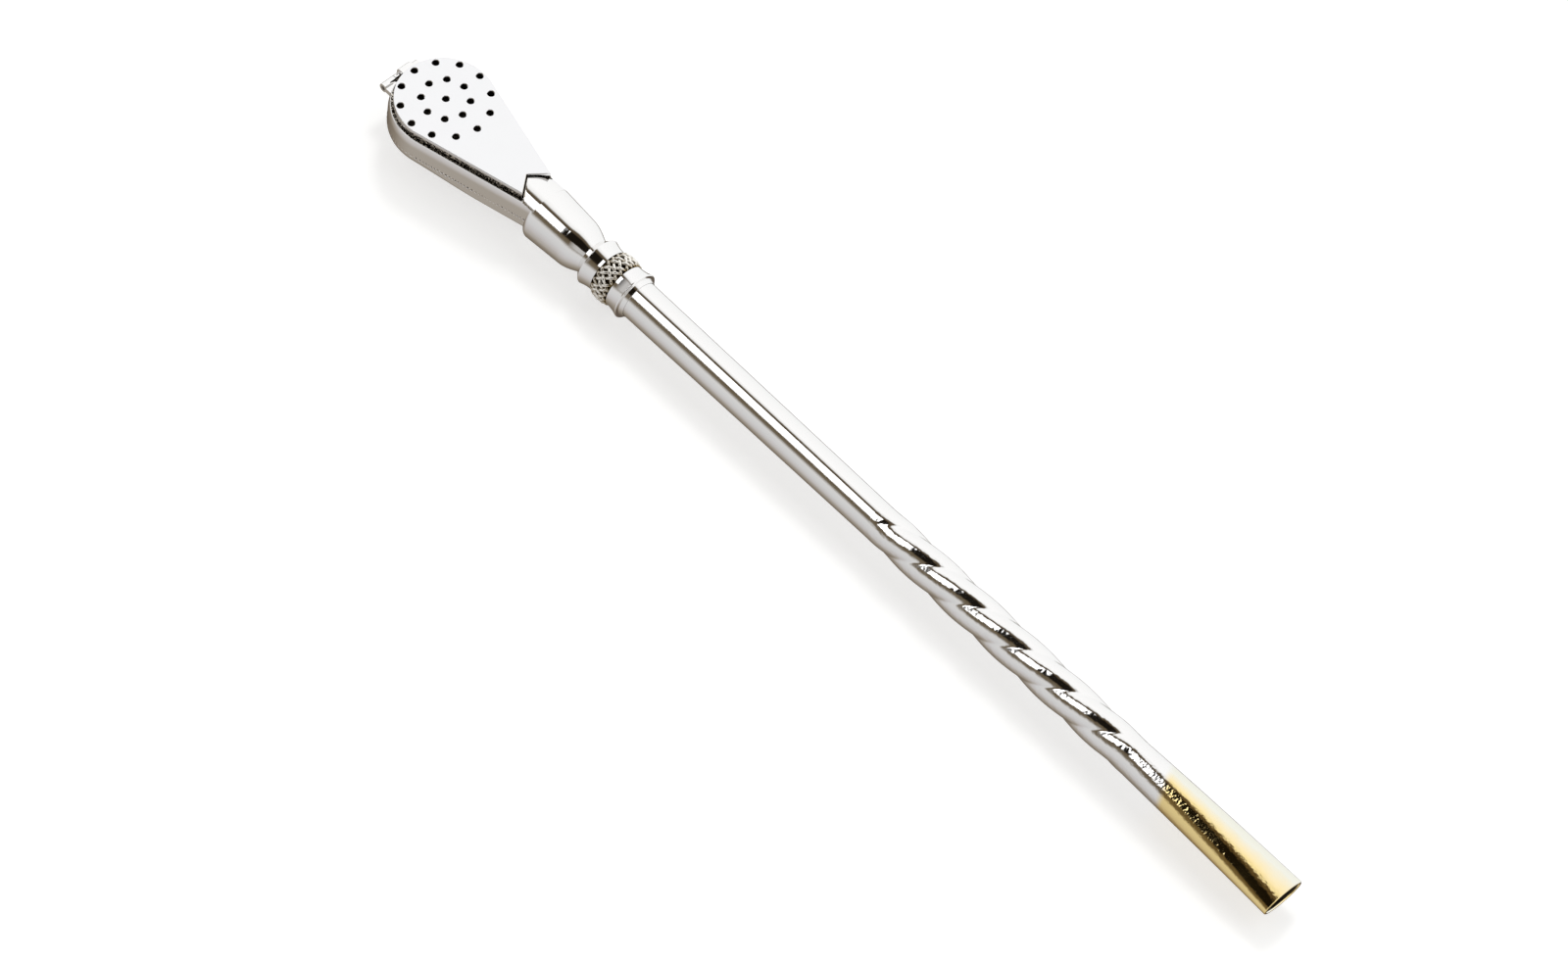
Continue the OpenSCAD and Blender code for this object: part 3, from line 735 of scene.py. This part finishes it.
def lid_strap():
    """The strap that leaves the lid's lower edge, bends over the tip and goes down to the lid's knuckle."""
    bend_r = STRAP_T * 1.05
    foot_z = HINGE_Z + KNUCKLE_R * 0.8
    top_z = LID_Z + STRAP_T
    start_x = -LID_R + STRAP_LAP
    section = rounded([(start_x, top_z, 0), (STRAP_OUT_X, top_z, bend_r),
                       (STRAP_OUT_X, foot_z, 0), (STRAP_OUT_X + STRAP_T, foot_z, 0),
                       (STRAP_OUT_X + STRAP_T, LID_Z, 0.05), (start_x, LID_Z, 0)], 8)
    middle = section.mean(0)
    half, soft, thinned = STRAP_W / 2, 0.1, 0.05
    across = [(-half, thinned), (-half + soft, 0), (half - soft, 0), (half, thinned)]
    rows = np.array([[(x, y, z) for x, z in middle + (section - middle) * (1 - shrink)]
                     for y, shrink in across])
    faces = skin(rows, close_rows=False) + ends(rows)
    return piece("lid_strap", rows.reshape(-1, 3), faces, [SPUN_SILVER], "lid", [])


def neck():
    """The pear-shaped socket, spun to shape, with its chevron tongue and the filed solder seam under it."""
    x = np.linspace(NECK_TOP_X, WAIST_X, 120)
    fall = np.cos(np.pi / 2 * np.clip((x - SHOULDER_X) / SHOULDER_LEN, 0, 1))
    cone = NECK_R - NECK_TAPER * (x - NECK_TOP_X)
    r = np.where(x < SHOULDER_X, cone, WAIST_R + (SHOULDER_R - WAIST_R) * fall)
    # Softens the shoulder
    for _ in range(4):
        r[1:-1] = (r[:-2] + 2 * r[1:-1] + r[2:]) / 4
    lip = [(NECK_TOP_X + NECK_LIP_R * (1 - math.cos(t)) - NECK_LIP_R,
            NECK_R - NECK_LIP_FALL * (1 - math.sin(t))) for t in np.radians(np.linspace(0, 84, 14))]
    outside = [*lip, *zip(x, r)]
    inside = [(WAIST_X, WAIST_R - NECK_WALL), (SHOULDER_X, SHOULDER_R - NECK_WALL),
              (BOWL_END_X, NECK_BORE_R), (BOWL_REACH, NECK_MOUTH_R)]
    body = turned([*outside, *inside])
    # Squares the upper half and draws its top in
    for row, (at, radius) in zip(body, outside):
        n = squareness(at)
        high = row[:, 2] > 0
        bulge = np.sum(np.abs(row[:, 1:] / radius) ** n, axis=1) ** (-1 / n)
        row[high, 1:] *= bulge[high, None]
        row[high, 1] *= 1 - NECK_PINCH * (n - 2) / NECK_SQUARE * row[high, 2] / radius
    points, faces = [body.reshape(-1, 3)], skin(body)
    for rows in (tongue(), filed_seam()):
        start = sum(len(p) for p in points)
        faces += skin(rows, start, close_rows=False) + ends(rows, start)
        points.append(rows.reshape(-1, 3))
    return piece("neck_socket", np.concatenate(points), faces, [SPUN_SILVER], "straw", ["neck"])


def squareness(x):
    """How square the neck is over its top: 2 is round, and more is squarer."""
    lead = 1
    return 2 + NECK_SQUARE * (1 - ease((x - SHOULDER_X + lead) / SHOULDER_LEN))


def tongue():
    """Rows of the arched tongue, from its chevron back to the neck, which go on with the neck's cone."""
    share = np.linspace(-1, 1, 41)

    def row(x_of, inset):
        """Points over and back under the tongue, at the places x_of(y) along it."""
        made = []
        for depth, way in ((inset, share), (NECK_WALL, share[::-1])):
            for y in TONGUE_HALF * way:
                x = x_of(y)
                r = NECK_R - depth
                n = squareness(x)
                made.append((x, y, max(r * (1 - abs(y / r) ** n) ** (1 / n), RIM_Z)))
        return made

    def chevron(y):
        """Place of the tongue's pointed end along the stem."""
        return TONGUE_X + CHEVRON_SLOPE * abs(y)

    edge_r = TONGUE_EDGE_R
    rows = [row(lambda y, t=t: chevron(y) + edge_r * (1 - math.cos(t)), edge_r * (1 - math.sin(t)))
            for t in np.radians(np.linspace(0, 90, 5))]
    rows += [row(lambda y, t=t: (chevron(y) + edge_r) * (1 - t) + NECK_TOP_X * t, 0)
             for t in np.linspace(0, 1, 12)[1:]]
    return np.array(rows)


def filed_seam():
    """Rows of the solder seam filed flat under the neck, which leans as the straw lies."""
    rise = (-NECK_LOW_Z - TUBE_END_R) / (MOUTH_X - NECK_TOP_X)
    end_lift = 0.3
    rows = []
    for x, shrink in [(0, FOOT_END), (FOOT_END, 0), (FOOT_LEN - FOOT_END, 0), (FOOT_LEN, FOOT_END)]:
        half, low = FOOT_W / 2 - shrink, NECK_LOW_Z + rise * x + end_lift * shrink
        section = [(-half, low + FOOT_H), (-half, low + FOOT_EDGE), (FOOT_EDGE - half, low),
                   (half - FOOT_EDGE, low), (half, low + FOOT_EDGE), (half, low + FOOT_H)]
        rows.append([(NECK_TOP_X + x, y, z) for y, z in section])
    return np.array(rows)


def cup(name, node, foot_x, lip_x, end):
    """A flared cup of the collar: hollow flare, rounded lip and a back through the corners of its end."""
    flare_end = 0.94
    way = math.copysign(1, lip_x - foot_x)
    flare = [(foot_x + way * FLARE_LEN * t, CUP_FOOT_R + (CUP_LIP_R - CUP_FOOT_R) * t * t, 0)
             for t in np.linspace(0, flare_end, 14)]
    lip = (lip_x, CUP_LIP_R, CUP_LIP_EDGE_R)
    rows = turned(rounded([*flare, lip, *end, (foot_x, COLLAR_BORE_R, 0)]))
    return piece(name, rows.reshape(-1, 3), skin(rows), [SPUN_SILVER], "straw", [node])


def woven_ring():
    """The band of woven wire on a dark core: two sets of wires that pass over and under each other."""
    wire_r, wires, cells = 0.27, 21, 2
    swing, crown_fall, unevenness = 0.13, 0.35, 0.035
    turn = 2 * math.pi * cells / wires
    core_r = RING_R - 2.6 * wire_r
    core_low_r, core_end_r = TUBE_R + 0.05, core_r - 0.1
    core_x, core_end_x = RING_X + 0.02, RING_END_X - 0.02
    core = turned([(core_x, core_low_r), (core_x, core_end_r), ((RING_X + RING_END_X) / 2, core_r),
                   (core_end_x, core_end_r), (core_end_x, core_low_r)])
    points, faces = [core.reshape(-1, 3)], skin(core)
    materials = [1] * len(faces)
    start = len(points[0])
    steps, sides = 48, 10
    t = np.linspace(0, 1, steps + 1)
    for way in (1, -1):
        for k in range(wires):
            uneven = unevenness * math.sin(k * 2.4 + way)
            angle = 2 * math.pi * k / wires + uneven + way * turn * (t - 0.5)
            over = way * swing * np.cos((t - 0.5) * turn * wires)
            crown = np.sqrt(np.clip(1 - (2 * t - 1) ** 2, 0, 1))
            r = RING_R - wire_r - swing - crown_fall * (1 - crown) + over
            x = RING_X + wire_r + (RING_END_X - RING_X - 2 * wire_r) * t
            rows = wire(np.column_stack([x, r * np.cos(angle), r * np.sin(angle)]), wire_r, sides)
            here = skin(rows, start, close_rows=False) + ends(rows, start)
            faces += here
            materials += [0] * len(here)
            points.append(rows.reshape(-1, 3))
            start += rows.shape[0] * rows.shape[1]
    return piece("woven_band", np.concatenate(points), faces, [WIRE, CORE], "straw", ["woven_ring"],
                 materials, sharp=60)


def wire(path, r, sides):
    """Rows of points around a round wire along a path near the stem."""
    along = np.gradient(path, axis=0)
    along /= np.linalg.norm(along, axis=1)[:, None]
    out = path * [0, 1, 1]
    out -= along * np.sum(out * along, axis=1)[:, None]
    out /= np.linalg.norm(out, axis=1)[:, None]
    side = np.cross(along, out)
    angles = np.linspace(0, 2 * np.pi, sides, endpoint=False)
    return np.array([[p + r * (math.cos(a) * o + math.sin(a) * s) for a in angles]
                     for p, o, s in zip(path, out, side)])


def stem_tube():
    """The plain drawn tube, slightly tapered, open through its bore."""
    taper = (TUBE_END_R - TUBE_R) / (TWIST_X - COLLAR_END_X)
    outside = [(x, TUBE_R + taper * (x - COLLAR_END_X)) for x in np.linspace(COLLAR_END_X, TWIST_X, 40)]
    bore = [(TWIST_X, TUBE_END_R - TUBE_WALL), (COLLAR_END_X, TUBE_BORE_R), (TUBE_X, TUBE_BORE_R)]
    rows = turned([(TUBE_X, TUBE_R), *outside, *bore])
    return piece("plain_tube", rows.reshape(-1, 3), skin(rows), [DRAWN_SILVER], "straw", ["stem_tube"])


def flute(angle):
    """Radius of the fluted section at an angle from the middle of a flute, with softened valleys."""
    pitch = 2 * math.pi / FLUTES
    b = angle - pitch * np.round(angle / pitch)
    r = FLUTE_OFFSET * np.cos(b) + np.sqrt(FLUTE_R ** 2 - (FLUTE_OFFSET * np.sin(b)) ** 2)
    for _ in range(6):
        r = (np.roll(r, 1) + 2 * r + np.roll(r, -1)) / 4
    return r


def twisted_tube():
    """The fluted tube, twisted to the left, whose flutes run out into the round ends."""
    length = MOUTH_X - TWIST_X
    angles = np.linspace(0, 2 * np.pi, 180, endpoint=False)

    def ring(x, r, turn):
        """Section at x from the start of the twist."""
        return np.column_stack([np.full(len(angles), TWIST_X + x), r * np.cos(turn), r * np.sin(turn)])

    rows = []
    for x in np.linspace(0, length, 260):
        depth = ease(x / RUN_OUT) * ease((length - x) / RUN_OUT)
        r = TUBE_END_R + depth * (flute(angles) - TUBE_END_R)
        rows.append(ring(x, r, angles + FLUTE_START - 2 * np.pi * x / FLUTE_LEAD))
    rows += [ring(x, TWIST_BORE_R, angles) for x in (length, 0)]
    rows = np.array(rows)
    return piece("fluted_tube", rows.reshape(-1, 3), skin(rows), [TWISTED_SILVER], "straw",
                 ["twisted_tube"])


def mouthpiece():
    """The gilt mouth end: round where it leaves the twist, pressed flat and wide, with a rounded lip."""
    angles = np.linspace(0, 2 * np.pi, 160, endpoint=False)
    lip_share = 0.985
    lip_r = MOUTH_WALL / 2

    def ring(t, inset, x_back=0.0):
        """Section at the share t of the length, which widens evenly and goes flat late."""
        flat = t * t
        half_w = TUBE_END_R + t * (MOUTH_HALF_W - TUBE_END_R) - inset
        half_h = TUBE_END_R + flat * (MOUTH_HALF_H - TUBE_END_R) - inset
        return np.column_stack([np.full(len(angles), MOUTH_X + t * (END_X - MOUTH_X) - x_back),
                                half_w * np.cos(angles), half_h * np.sin(angles) - flat * MOUTH_DROP])

    outside = [ring(t, 0) for t in np.linspace(0, lip_share, 70)]
    lip = [ring(1, lip_r * (1 - math.cos(a)), lip_r * (1 - math.sin(a)))
           for a in np.radians(np.linspace(10, 170, 11))]
    inside = [ring(t, MOUTH_WALL) for t in np.linspace(lip_share, 0, 30)]
    rows = np.array([*outside, *lip, *inside])
    stained = [int(i > len(outside) + len(lip) - 2) for i in range(len(rows)) for _ in angles]
    return piece("gilt_mouthpiece", rows.reshape(-1, 3), skin(rows), [GOLD, STAINED], "straw",
                 ["mouthpiece"], stained)


bowl()
strainer_lid()
lid_strap()
neck()
cup("neck_side_cup", "neck_cup", RING_X, RING_X - FLARE_LEN,
    [(WAIST_X, WAIST_R, 0.05), (WAIST_X, TUBE_BORE_R, 0), (TUBE_X, TUBE_BORE_R, 0),
     (TUBE_X, COLLAR_BORE_R, 0)])
cup("tube_side_cup", "tube_cup", RING_END_X, RING_END_X + FLARE_LEN,
    [(LIP_BACK_X, CUP_LIP_R - LIP_T, 0.05), (LIP_BACK_X, LIP_BACK_R, 0.12),
     (COLLAR_END_X, COLLAR_END_R, 0.03), (COLLAR_END_X, COLLAR_BORE_R, 0)])
woven_ring()
stem_tube()
twisted_tube()
mouthpiece()
for name, material in {"lid_knuckle": SPUN_SILVER, "bowl_knuckle_near": SPUN_SILVER,
                       "bowl_knuckle_far": SPUN_SILVER, "hinge_pin": PIN_STEEL}.items():
    frame["nodes"][name].data.materials.clear()
    frame["nodes"][name].data.materials.append(material)


# Floor, light and camera
def floor():
    """A white acrylic table, lit a little from below, so that the shadow stays pale."""
    size = 6.0
    mesh = bpy.data.meshes.new("floor")
    corners = [(-size, -size, 0), (size, -size, 0), (size, size, 0), (-size, size, 0)]
    mesh.from_pydata(corners, [], [(0, 1, 2, 3)])
    acrylic = bpy.data.materials.new("white_acrylic")
    acrylic.use_nodes = True
    shader = acrylic.node_tree.nodes["Principled BSDF"]
    shader.inputs["Base Color"].default_value = linear("#c4c4c3")
    shader.inputs["Roughness"].default_value = 0.9
    shader.inputs["Specular IOR Level"].default_value = 0.0
    shader.inputs["Emission Color"].default_value = linear("#ffffff")
    shader.inputs["Emission Strength"].default_value = 0.62
    mesh.materials.append(acrylic)
    made = bpy.data.objects.new("floor", mesh)
    bpy.context.scene.collection.objects.link(made)
    made.visible_glossy = False


def studio():
    """The room that the metal mirrors: white far side, dark near side with one softbox, grey floor below.

    A direction is given by its angle around the stem, in degrees from the far side upward, and by its angle
    along the stem, in degrees from straight across toward the mouth end.
    """
    world = bpy.data.worlds.new("studio")
    bpy.context.scene.world = world
    world.use_nodes = True
    tree = world.node_tree
    direction = add(tree, "ShaderNodeTexCoord").outputs["Generated"]
    way = add(tree, "ShaderNodeSeparateXYZ", {"Vector": direction}).outputs
    around = add(tree, "ShaderNodeMath", {0: way["Z"], 1: way["Y"]}, operation="ARCTAN2").outputs[0]

    def band(value, low, high, soft):
        """1 between low and high, with soft ends."""
        rise = add(tree, "ShaderNodeMapRange",
                   {"Value": value, "From Min": low - soft, "From Max": low + soft})
        fall = add(tree, "ShaderNodeMapRange",
                   {"Value": value, "From Min": high + soft, "From Max": high - soft})
        return add(tree, "ShaderNodeMath", {0: rise.outputs[0], 1: fall.outputs[0]},
                   operation="MULTIPLY").outputs[0]

    def around_band(value, low, high, soft):
        """A band between two angles around the stem."""
        return band(value, math.radians(low), math.radians(high), math.radians(soft))

    def along_band(value, low, high, soft):
        """A band between two angles along the stem."""
        return band(value, math.sin(math.radians(low)), math.sin(math.radians(high)), soft)

    # The lower edge of the dark curtain, and of the softbox in it, is frayed
    fine_along = add(tree, "ShaderNodeMath", {0: way["X"], 1: 700}, operation="MULTIPLY")
    fringe = add(tree, "ShaderNodeTexNoise", {"W": fine_along.outputs[0], "Scale": 1, "Detail": 2},
                 noise_dimensions="1D")
    loose = add(tree, "ShaderNodeMapRange", {"Value": around, "From Min": math.radians(110),
                                             "From Max": math.radians(128), "To Max": math.radians(22)})
    shift = add(tree, "ShaderNodeMath", {0: fringe.outputs["Fac"], 1: 0.5}, operation="SUBTRACT")
    frayed = add(tree, "ShaderNodeMath", {0: shift.outputs[0], 1: loose.outputs[0], 2: around},
                 operation="MULTIPLY_ADD").outputs[0]
    turn = add(tree, "ShaderNodeMapRange", {"Value": frayed, "From Min": -math.pi, "From Max": math.pi})
    ramp = add(tree, "ShaderNodeValToRGB", {"Fac": turn.outputs[0]})
    stops = [(-180, "#d0d0d0"), (-168, "#cdcdcd"), (-156, "#c7c5c5"), (-142, "#bdb9b7"), (-126, "#a49d94"),
             (-104, "#867c6f"), (-60, "#5a5046"), (-42, "#8f8a83"), (-27, "#f6f7f7"), (66, "#ffffff"),
             (78, "#f0f0ef"), (84, "#5d5140"), (93, "#4a3f30"), (96, "#17130e"), (129, "#17130e"),
             (131, "#5a4e3c"), (150, "#6f6555"), (155, "#a39f99"), (164, "#d4d3d2"), (180, "#d0d0d0")]
    elements = ramp.color_ramp.elements
    while len(elements) < len(stops):
        elements.new(0.5)
    for element, (angle, colour) in zip(elements, stops):
        element.position = (angle + 180) / 360
        element.color = linear(colour)

    # The softbox, whose ends are frayed less than its lower edge
    fine_around = add(tree, "ShaderNodeMath", {0: around, 1: 45}, operation="MULTIPLY")
    fray = add(tree, "ShaderNodeTexNoise", {"W": fine_around.outputs[0], "Scale": 1, "Detail": 2},
               noise_dimensions="1D")
    torn = add(tree, "ShaderNodeMath", {0: fray.outputs["Fac"], 1: 0.05, 2: way["X"]},
               operation="MULTIPLY_ADD")
    softbox = add(tree, "ShaderNodeMath", {0: around_band(frayed, 94.5, 130, 0.5),
                                           1: along_band(torn.outputs[0], -29.6, -12, 0.01)},
                  operation="MULTIPLY").outputs[0]

    # The curtain hangs only at the middle, its upper part wider; beside it the room is grey
    drape = add(tree, "ShaderNodeMath", {0: along_band(way["X"], -36, 36, 0.06),
                                         1: around_band(around, 84, 130, 1)}, operation="MULTIPLY")
    hung = add(tree, "ShaderNodeMath", {0: along_band(way["X"], -38, 17, 0.13), 1: drape.outputs[0]},
               operation="MAXIMUM")
    beside = add(tree, "ShaderNodeMath", {0: 1, 1: hung.outputs[0]}, operation="SUBTRACT")
    grey = add(tree, "ShaderNodeMath", {0: beside.outputs[0], 1: around_band(around, 86, 152, 3)},
               operation="MULTIPLY")
    room = add(tree, "ShaderNodeMix", {"Factor": grey.outputs[0], "A": ramp.outputs["Color"],
                                       "B": linear("#bdbbb9")}, data_type="RGBA")
    light = add(tree, "ShaderNodeMix", {"Factor": softbox, "A": room.outputs["Result"],
                                        "B": (1.6, 1.6, 1.6, 1)}, data_type="RGBA")
    tree.links.new(light.outputs["Result"], tree.nodes["Background"].inputs["Color"])
    tree.nodes["Background"].inputs["Strength"].default_value = 1.06


def soft_light():
    """A soft lamp behind the straw, whose pale shadow falls toward the viewer."""
    lamp = bpy.data.lights.new("back_light", "AREA")
    lamp.shape = "RECTANGLE"
    lamp.size, lamp.size_y = 0.35, 0.35
    lamp.energy = 7
    made = bpy.data.objects.new("back_light", lamp)
    made.location = (-0.62, 0.87, 1.2)
    made.rotation_euler = (-made.location).to_track_quat("-Z", "Y").to_euler()
    made.visible_glossy = False
    bpy.context.scene.collection.objects.link(made)


def camera():
    """The photograph's view: a place at the middle of the stem lies at aim_px in the picture."""
    azimuth, elevation, roll = (math.radians(a) for a in (-54.431, 55.804, 12.253))
    distance, focal_px, width_px, height_px = 1000.0, 6748.2, 1600, 983
    aim_x, aim_px = 84.5, (837.6, 478.0)
    back = Vector((math.cos(elevation) * math.cos(azimuth), math.cos(elevation) * math.sin(azimuth),
                   math.sin(elevation)))
    right = Vector((0, 0, 1)).cross(back).normalized()
    up = back.cross(right)
    right, up = (right * math.cos(roll) + up * math.sin(roll),
                 up * math.cos(roll) - right * math.sin(roll))
    middle = Vector((aim_x + ORIGIN[0], 0, ORIGIN[2]))
    where = (middle + back * distance - right * (aim_px[0] - width_px / 2) / focal_px * distance
             + up * (aim_px[1] - height_px / 2) / focal_px * distance)
    lens = bpy.data.cameras.new("camera")
    lens.sensor_width = 36
    lens.lens = focal_px / width_px * lens.sensor_width
    lens.clip_start, lens.clip_end = 0.01, 50
    made = bpy.data.objects.new("camera", lens)
    made.matrix_world = Matrix.Translation(where * MM) @ Matrix((right, up, back)).transposed().to_4x4()
    bpy.context.scene.collection.objects.link(made)
    bpy.context.scene.camera = made


floor()
studio()
soft_light()
camera()
bpy.context.scene.view_settings.view_transform = "Standard"
